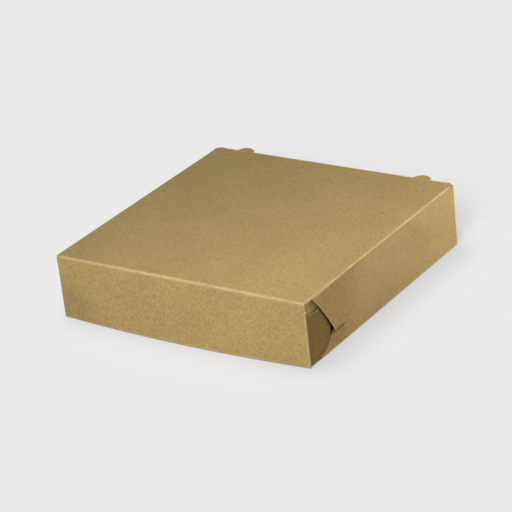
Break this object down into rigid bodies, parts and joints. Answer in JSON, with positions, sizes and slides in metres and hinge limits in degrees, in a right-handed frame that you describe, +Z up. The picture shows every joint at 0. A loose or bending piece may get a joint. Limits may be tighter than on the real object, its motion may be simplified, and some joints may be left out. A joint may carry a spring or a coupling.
{
  "type": "pizza box",
  "caption": "Square folded kraft paperboard pizza box with hooked back corners and a hinged lid whose flaps tuck inside the tray.",
  "frame": {"origin": "middle of the base's underside, on the surface the box stands on", "axes": "+Z up, out of the lid; X along the lid's hinge crease; -Y towards the back wall that carries the hinge, +Y towards the front edge with the lid's tabs"},
  "size_m": [0.2048, 0.213, 0.0476],
  "materials": {
    "kraft_board": "uncoated brown kraft, matte, finely flecked with fibres"
  },
  "bodies": {
    "tray": {"tray": "kraft_board"},
    "lid": {"lid": "kraft_board"}
  },
  "joints": [
    {"name": "lid_hinge", "type": "hinge", "parent": "tray", "child": "lid", "pos_m": [0, -0.1016, 0.047], "axis": [1, 0, 0], "range_deg": [0, 180]}
  ]
}
